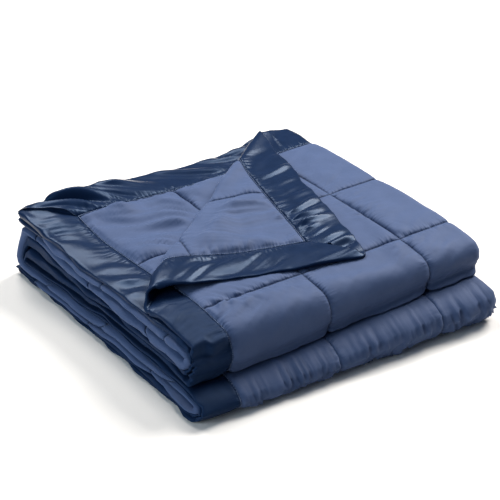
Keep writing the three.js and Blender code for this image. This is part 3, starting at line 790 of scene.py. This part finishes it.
# %% Binding strips
def binding_strip(side, a_lines):
    half_turn = len(ACROSS)
    lap_from = BINDING - SEAM_GAP / 2
    d, a = np.meshgrid(np.concatenate([ACROSS, [lap_from, lap_from], ACROSS[::-1]]), a_lines, indexing="ij")
    a = mitred(d, a)
    h, flap = binding_heights(side, d, a, half_turn)
    s, t = rounded(*ON_SIDE[side](d + edge_waves(side, d, a, flap), a))
    # Each lap is a step: its inner end goes straight down to the cloth before it runs back under
    first_end, last_end = half_turn - 1, half_turn + 2
    order = [*range(half_turn), first_end, half_turn, half_turn + 1, last_end, *range(last_end, len(d))]
    s, t, h = s[order], t[order], h[order]
    h[half_turn], h[half_turn + 3] = LAP_UNDER, -LAP_UNDER
    points, uvs = settled(s, t, h), np.stack([s, t], axis=-1)
    rows, columns = s.shape
    faces = [face[::-1] for face in grid_faces(rows, columns, closed_rows=True)]
    for column, step in ((0, -1), (columns - 1, 1)):
        ring = [i * columns + column for i in range(rows)]
        for i in range(rows // 2 - 1):
            faces.append((ring[i], ring[i + 1], ring[rows - 2 - i], ring[rows - 1 - i])[::step])
    piece = mesh_object(f"satin_binding_{side}", points.reshape(-1, 3), faces, uvs.reshape(-1, 2))
    if not outward(piece):
        piece.data.flip_normals()
    print(piece.name, "faces", len(piece.data.polygons), "outward", outward(piece))
    return piece


SATIN_SHOWN, SATIN_SECOND, SATIN_LOWEST, SATIN_INSIDE_T, SATIN_INSIDE_S = 2.6, 3.0, 4.0, 7.0, 8.0
EDGE_FOLDS = [LEFT_FOLD, RIGHT_FOLD, OUTER_TURN]
SHOWN_S, SECOND_S = (0.0, OUTER_X, SATIN_SHOWN), (SECOND_FIRST, SIDE, SATIN_SECOND)
ALONG_T = lines(0.0, SIDE, SATIN_INSIDE_T, [(0.0, CUT, SATIN_SHOWN), *TURNS])
ALONG_S = lines(0.0, SIDE, SATIN_INSIDE_S, [SHOWN_S, *EDGE_FOLDS, SECOND_S])
ALONG_FAR = lines(0.0, SIDE, SATIN_INSIDE_S, [(0.0, OUTER_X, SATIN_LOWEST), *EDGE_FOLDS])
ALONG = {"left": ALONG_T, "right": ALONG_T, "back": ALONG_S, "far": ALONG_FAR}
BINDINGS = {side: binding_strip(side, a_lines) for side, a_lines in ALONG.items()}

# %% [markdown]
# ## Stitches
# Boxes and binding are sewn in stitches about 3 mm long. Copied objects or a texture could stand for
# them, but Geometry Nodes give real ones in a few lines: one small spindle, set along every row, turned
# to the row's direction and to the cloth's face. The rows are points that hold both as attributes.

# %% Stitch rows
STITCH_EVERY, STITCH_LONG, STITCH_THICK = 3.2, 2.6, 0.9
STITCH_PROUD = 0.5


def stitch_row(fixed, start, end, fixed_is_s, face, half):
    """Points along one sewn line on one face, with the row's direction and the face's normal."""
    a = np.arange(start + STITCH_EVERY / 2, end, STITCH_EVERY)
    b = np.full_like(a, fixed)
    s, t = (b, a) if fixed_is_s else (a, b)
    ds, dt = (0.0, 1.0) if fixed_is_s else (1.0, 0.0)
    h = face * (half(s, t, face) + STITCH_PROUD)
    here = settled(s, t, h)
    along = settled(s + ds, t + dt, h) - settled(s - ds, t - dt, h)
    return here, along, settled(s, t, h + face) - here


def on_cloth(s, t, face):
    open_a, open_b, _ = shows(s, t)
    return quilt_half(s, t, open_a, FACE_A) if face > 0 else quilt_half(s, t, open_b, FACE_B)


def on_lap(s, t, face):
    return np.full_like(s, LAP_TOP)


def box_rows():
    """Rows on the seams between boxes, only where they show."""
    rows = []
    first, last = BINDING + LAP, SIDE - BINDING - LAP
    turn_start, turn_end, _ = TURNS[1]
    right_side, second = FOLD_STARTS[2], FOLD_STARTS[-1]
    for seam in [BINDING + k * BOX for k in range(1, BOXES)]:
        # Where the row is seen, where it starts and ends, if the seam is a line of fixed s, and its face
        spans = [
            (seam < right_side, first, CUT, True, 1),
            (seam < right_side, first, DEPTH - TURN, True, -1),
            (seam < right_side, turn_start, turn_end, True, 1),
            (seam < right_side, first, right_side, False, 1),
            (seam < right_side, first, OUTER_X, False, -1),
            (seam > second, first, DEPTH - TURN, True, -1),
            (seam < DEPTH, second, last, False, -1),
            (turn_start < seam < turn_end, first, right_side, False, 1),
            (True, OUTER_X, right_side, False, 1),
        ]
        rows += [stitch_row(seam, *span, on_cloth) for seen, *span in spans if seen]
    return rows


def lap_rows():
    line = BINDING + LAP / 2
    places = [(face, fixed) for face in (1, -1) for fixed in (line, SIDE - line)]
    places = [(face, fixed, side) for face, fixed in places for side in (True, False)]
    return [stitch_row(fixed, line, SIDE - line, side, face, on_lap) for face, fixed, side in places]


print("stitches every", STITCH_EVERY, "mm")

# %% Node helpers
def set_inputs(tree, node, inputs):
    """Gives each input its value, or the socket that feeds it."""
    for socket, value in inputs.items():
        if isinstance(value, bpy.types.NodeSocket):
            tree.links.new(value, node.inputs[socket])
        else:
            node.inputs[socket].default_value = value


def add_node(tree, kind, inputs=None, **settings):
    node = tree.nodes.new(kind)
    for name, value in settings.items():
        setattr(node, name, value)
    set_inputs(tree, node, inputs or {})
    return node.outputs


def made(tree, kind, inputs=None, **settings):
    return add_node(tree, kind, inputs, **settings)[0]


def maths(tree, operation, *values):
    return made(tree, "ShaderNodeMath", dict(enumerate(values)), operation=operation)

# %% The stitching tree
def stitch_tree():
    tree = bpy.data.node_groups.new("sewn stitches", "GeometryNodeTree")
    asked = {"Geometry": "Geometry", "Stitch length": "Float", "Stitch thickness": "Float"}
    asked |= {"Unevenness": "Float", "Seed": "Int", "Thread": "Material"}
    for label, kind in asked.items():
        tree.interface.new_socket(label, in_out="INPUT", socket_type="NodeSocket" + kind)
    tree.interface.new_socket("Geometry", in_out="OUTPUT", socket_type="NodeSocketGeometry")
    given = add_node(tree, "NodeGroupInput")
    thick = given["Stitch thickness"]
    spindle = made(tree, "GeometryNodeMeshUVSphere", {"Segments": 4, "Rings": 3, "Radius": 0.5})
    size = made(tree, "ShaderNodeCombineXYZ", {"X": given["Stitch length"], "Y": thick, "Z": thick})
    stitch = made(tree, "GeometryNodeTransform", {"Geometry": spindle, "Scale": size})
    turned = {}
    for name, axis, pivot in (("along", "X", "AUTO"), ("up", "Z", "X")):
        read = {"Name": name}
        turned["Vector"] = made(tree, "GeometryNodeInputNamedAttribute", read, data_type="FLOAT_VECTOR")
        axes = {"axis": axis, "pivot_axis": pivot}
        turned["Rotation"] = made(tree, "FunctionNodeAlignRotationToVector", turned, **axes)
    sizes = {"Min": maths(tree, "SUBTRACT", 1.0, given["Unevenness"]), "Max": 1.0, "Seed": given["Seed"]}
    vary = add_node(tree, "FunctionNodeRandomValue", sizes)["Value"]
    sewn_on = {"Points": given["Geometry"], "Instance": stitch, "Rotation": turned["Rotation"], "Scale": vary}
    sew = made(tree, "GeometryNodeInstanceOnPoints", sewn_on)
    real = made(tree, "GeometryNodeRealizeInstances", {"Geometry": sew})
    colour = made(tree, "GeometryNodeSetMaterial", {"Geometry": real, "Material": given["Thread"]})
    add_node(tree, "NodeGroupOutput", {"Geometry": colour})
    return tree


def sewn(name, rows, tree, thread):
    """Runs the tree on the rows' points, and keeps what it makes as a plain mesh."""
    here, along, up = (np.concatenate(parts) for parts in zip(*rows))
    mesh = bpy.data.meshes.new(name + "_points")
    mesh.from_pydata((here * MM).tolist(), [], [])
    for label, values in (("along", along), ("up", up)):
        attribute = mesh.attributes.new(label, "FLOAT_VECTOR", "POINT")
        attribute.data.foreach_set("vector", values.astype(np.float32).ravel())
    row_object = add_object(name + "_points", mesh)
    modifier = row_object.modifiers.new("stitches", "NODES")
    modifier.node_group = tree
    wanted = {"Stitch length": STITCH_LONG * MM, "Stitch thickness": STITCH_THICK * MM}
    wanted |= {"Unevenness": 0.2, "Seed": 5, "Thread": thread}
    for item in tree.interface.items_tree:
        if item.in_out == "INPUT" and item.name in wanted:
            modifier[item.identifier] = wanted[item.name]
    evaluated = row_object.evaluated_get(bpy.context.evaluated_depsgraph_get())
    spindles = bpy.data.meshes.new_from_object(evaluated)
    spindles.shade_smooth()
    bpy.data.objects.remove(row_object)
    bpy.data.meshes.remove(mesh)
    print(name, "stitches", len(here), "faces", len(spindles.polygons))
    return add_object(name, spindles)


print("spindles", STITCH_LONG, "mm long")

# %% [markdown]
# ## Materials
# Brushed microfibre scatters light evenly, with a faint glow at its edges. Satin has long smooth threads
# on its face: it is nearly black where it mirrors nothing, and pale where it turns to the light. A
# photo of cloth would repeat and hold its own light, so both weaves are noise on the cloth's own UV.
# Gathers too fine for the mesh are bumps that start at the sewn lines, with a groove at each seam.

# %% Material helpers
def new_material(name):
    material = bpy.data.materials.new(name)
    material.use_nodes = True
    tree = material.node_tree
    return material, tree, next(node for node in tree.nodes if node.type == "BSDF_PRINCIPLED")


def cloth_uv(tree, scale):
    uv = made(tree, "ShaderNodeUVMap", uv_map="cloth")
    return made(tree, "ShaderNodeMapping", {"Vector": uv, "Scale": scale})


def noise_texture(tree, vector, scale, detail):
    return made(tree, "ShaderNodeTexNoise", {"Vector": vector, "Scale": scale, "Detail": detail})


def cloth_noise(tree, across, along, detail):
    return noise_texture(tree, cloth_uv(tree, (across, along, 1)), 1.0, detail)


def bump(tree, height, distance, strength, below=None):
    """Bumps distance millimetres high, on top of those below."""
    inputs = {"Height": height, "Distance": distance * MM, "Strength": strength}
    if below:
        inputs["Normal"] = below
    return made(tree, "ShaderNodeBump", inputs)


def two_colours(tree, factor, dark, light):
    """A blend from dark to light over the middle of the factor's range."""
    colour = made(tree, "ShaderNodeValToRGB", {"Fac": factor})
    for element, position, rgb in zip(colour.node.color_ramp.elements, (0.3, 0.7), (dark, light)):
        element.position = position
        element.color = (*rgb, 1)
    return colour

# %% Weave, and gathers at the seams
THREADS, THREAD_LONG = 1400.0, 16.0
CLOTH_GATHERS = {"every": BOX, "high": 9.0, "reach": 8.0, "apart": 5.5, "patch": 45.0}
SATIN_GATHERS = {"every": SIDE - 2 * BINDING, "high": 8.0, "reach": 11.0, "apart": 7.0, "patch": 60.0}
GROOVE_REACH, GROOVE_SHARE = 2.2, 0.36


def weave(tree):
    """Fine uneven threads both ways: noise drawn out along each thread."""
    close, drawn_out = THREADS * 2, THREADS / THREAD_LONG
    both = cloth_noise(tree, close, drawn_out, 1.0), cloth_noise(tree, drawn_out, close, 1.0)
    return maths(tree, "ADD", *both)


def fades_from(tree, distance, reach):
    return maths(tree, "EXPONENT", maths(tree, "MULTIPLY", distance, -1 / reach))


def drawn_in(tree, look):
    """Short wrinkles that start at every sewn line, strong in patches, from the cloth's own (s, t)."""
    parts = add_node(tree, "ShaderNodeSeparateXYZ", {0: cloth_uv(tree, (SIDE, SIDE, 1))})
    heights = []
    for k in range(2):
        distance = maths(tree, "PINGPONG", maths(tree, "SUBTRACT", parts[k], BINDING), look["every"] / 2)
        scales = [SIDE / (5 * look["apart"]), SIDE / look["apart"]]
        fine = cloth_noise(tree, scales[k], scales[1 - k], 1.0)
        patch = cloth_noise(tree, SIDE / look["patch"], SIDE / look["patch"], 0.0)
        strong = maths(tree, "MULTIPLY", fades_from(tree, distance, look["reach"]), patch)
        groove = maths(tree, "MULTIPLY", fades_from(tree, distance, GROOVE_REACH), GROOVE_SHARE)
        height = maths(tree, "SUBTRACT", maths(tree, "MULTIPLY", strong, fine), groove)
        off = maths(tree, "ABSOLUTE", maths(tree, "SUBTRACT", parts[1 - k], SIDE / 2))
        sewn_here = maths(tree, "LESS_THAN", off, SIDE / 2 - BINDING + LAP)
        heights.append(maths(tree, "MULTIPLY", height, sewn_here))
    return maths(tree, "ADD", *heights)


print("threads across the whole blanket", round(THREADS * 2))

# %% Microfibre
CLOTH_LOOK = {
    "colours": [(0.0345, 0.0585, 0.129), (0.0413, 0.067, 0.145)],
    "clouds": 90.0,
    "rumples": 90.0,
    "rumple_detail": 3.0,
    "thread_bump": (0.12, 0.5),
    "rumple_bump": (2.2, 0.5),
    "gathers": CLOTH_GATHERS,
}
CLOTH_SHADER = {
    "Roughness": 0.65,
    "Specular IOR Level": 0.22,
    "Specular Tint": (0.75, 0.8, 1.0, 1),
    "Sheen Weight": 0.1,
    "Sheen Roughness": 0.45,
    "Sheen Tint": (0.62, 0.72, 1.0, 1),
}


def woven_material(name, look):
    """Cloudy colour, with the weave, soft rumples and the gathers at the seams as bumps on each other."""
    material, tree, shader = new_material(name)
    clouds = noise_texture(tree, cloth_uv(tree, (1, 1, 1)), look["clouds"], 3.0)
    threads = bump(tree, weave(tree), *look["thread_bump"])
    rumples = cloth_noise(tree, look["rumples"], look["rumples"], look["rumple_detail"])
    soft = bump(tree, rumples, *look["rumple_bump"], threads)
    gathers = bump(tree, drawn_in(tree, look["gathers"]), look["gathers"]["high"], 1.0, soft)
    set_inputs(tree, shader, {"Base Color": two_colours(tree, clouds, *look["colours"]), "Normal": gathers})
    return material, tree, shader


microfibre, tree, shader = woven_material("brushed slate blue microfibre", CLOTH_LOOK)
set_inputs(tree, shader, CLOTH_SHADER)
for piece in CLOTH_PIECES:
    piece.data.materials.append(microfibre)
print(microfibre.name, "on", len(CLOTH_PIECES), "pieces")

# %% Satin
# It is smoothest on the top panel, and duller where it turns down at the front and inside the stack
ROUGH = {"From Min": DEPTH - 150.0, "From Max": DEPTH - 70.0, "To Min": 0.3, "To Max": 0.6}
SATIN_LOOK = {
    "colours": [(0.005, 0.013, 0.038), (0.007, 0.017, 0.048)],
    "clouds": 120.0,
    "rumples": 80.0,
    "rumple_detail": 1.0,
    "thread_bump": (0.05, 0.2),
    "rumple_bump": (1.6, 0.15),
    "gathers": SATIN_GATHERS,
}

satin, tree, shader = woven_material("slate blue satin", SATIN_LOOK)
along = add_node(tree, "ShaderNodeSeparateXYZ", {0: cloth_uv(tree, (SIDE, SIDE, 1))})[1]
rough = made(tree, "ShaderNodeMapRange", {"Value": along, **ROUGH})
satin_shader = {"Roughness": rough, "Specular IOR Level": 0.135, "Specular Tint": (0.2, 0.5, 1.0, 1)}
set_inputs(tree, shader, satin_shader)
for piece in BINDINGS.values():
    piece.data.materials.append(satin)
print(satin.name, "on", len(BINDINGS), "strips")

# %% Thread
THREAD_TONES, THREAD_TWIST, THREAD_BUMP = 900.0, 2600.0, (0.1, 0.4)


def thread_material(name, dark, light):
    material, tree, shader = new_material(name)
    at = add_node(tree, "ShaderNodeTexCoord")["Object"]
    look = {
        "Base Color": two_colours(tree, noise_texture(tree, at, THREAD_TONES, 2.0), dark, light),
        "Roughness": 0.6,
        "Normal": bump(tree, noise_texture(tree, at, THREAD_TWIST, 1.0), *THREAD_BUMP),
    }
    set_inputs(tree, shader, look)
    return material


box_thread = thread_material("slate blue thread", (0.03, 0.052, 0.12), (0.05, 0.08, 0.17))
binding_thread = thread_material("pale blue thread", (0.17, 0.23, 0.38), (0.26, 0.33, 0.5))
tree = stitch_tree()
box_stitches = sewn("box_stitches", box_rows(), tree, box_thread)
binding_stitches = sewn("binding_stitches", lap_rows(), tree, binding_thread)

# %% [markdown]
# ## What each piece stands for
# The pieces replace the plain solids, and all of them ride on the one body. The size each cloth was cut to
# is listed beside it, though nothing here passes it on. Listing it could be left out, but a folded sheet
# that has grown or shrunk looks right and is wrong.

# %% Pieces, bodies and cloth sizes
CLOTH_WIDE = (SIDE - 2 * BINDING) * MM
CUT_WIDE = (CUT - BINDING) * MM
FLAT_SIZES = {
    top_layer: (CUT_WIDE, CUT_WIDE),
    top_panel: (CLOTH_WIDE - CUT_WIDE, CUT_WIDE),
    lower_panels: (CLOTH_WIDE, CLOTH_WIDE - CUT_WIDE),
}
for piece, flat in FLAT_SIZES.items():
    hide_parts("quilted_cloth")
    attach(piece, "root")
for side, piece in BINDINGS.items():
    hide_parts(f"binding_{side}")
    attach(piece, "root")
for piece, slot in ((box_stitches, "microfibre"), (binding_stitches, "satin")):
    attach(piece, "root")
print("flat cloth", round(CLOTH_WIDE, 3), "m square, strips", round((BINDING + LAP) * MM, 3), "m wide")

# %% [markdown]
# ## Floor and light
# The photo is a pale studio. One soft light at the right shines along the folds and the satin, one behind
# brightens the top, and a wide cool one at the left opens up the layers' edges. A picture of a real
# room would put its own shapes into the satin's shine, so the surround is one plain bluish grey.

# %% Floor
FLOOR_SIZE, FLOOR_DROP = 14.0, 0.0004


def add_floor():
    half = FLOOR_SIZE / 2
    mesh = bpy.data.meshes.new("floor")
    corners = [(-half, -half), (half, -half), (half, half), (-half, half)]
    mesh.from_pydata([(x, y, -FLOOR_DROP) for x, y in corners], [], [(0, 1, 2, 3)])
    material, tree, shader = new_material("pale floor")
    look = {"Base Color": (0.76, 0.735, 0.71, 1), "Roughness": 0.9, "Specular IOR Level": 0.1}
    set_inputs(tree, shader, look)
    mesh.materials.append(material)
    add_object("floor", mesh)


add_floor()
print("floor", FLOOR_SIZE, "m square")

# %% Lights
WARM, COOL = (1.0, 0.97, 0.93), (0.78, 0.92, 1.0)
# Name, place, size, watts and colour
LIGHTS = [
    ("right", (2.7, 0.55, 2.7), 1.8, 240.0, WARM),
    ("back", (0.4, 2.4, 3.2), 1.7, 165.0, WARM),
    ("fill", (-3.9, 0.1, 1.5), 3.0, 125.0, COOL),
]
LIT_POINT = np.array([0.0, 0.0, 0.06])
SURROUND = (0.074, 0.092, 0.125, 1)


def add_light(name, at, size, watts, colour):
    data = bpy.data.lights.new(name, "AREA")
    data.size, data.energy, data.color = size, watts, colour
    light = add_object(name, data)
    light.location = at
    towards = LIT_POINT - np.array(at)
    away = math.atan2(math.hypot(towards[0], towards[1]), -towards[2])
    light.rotation_euler = (away, 0, math.atan2(towards[1], towards[0]) - math.pi / 2)


for light in LIGHTS:
    add_light(*light)
world = bpy.data.worlds.new("surround")
world.use_nodes = True
world.node_tree.nodes["Background"].inputs["Color"].default_value = SURROUND
bpy.context.scene.world = world
bpy.context.scene.view_settings.view_transform = "Standard"
print("lights", [light[0] for light in LIGHTS])
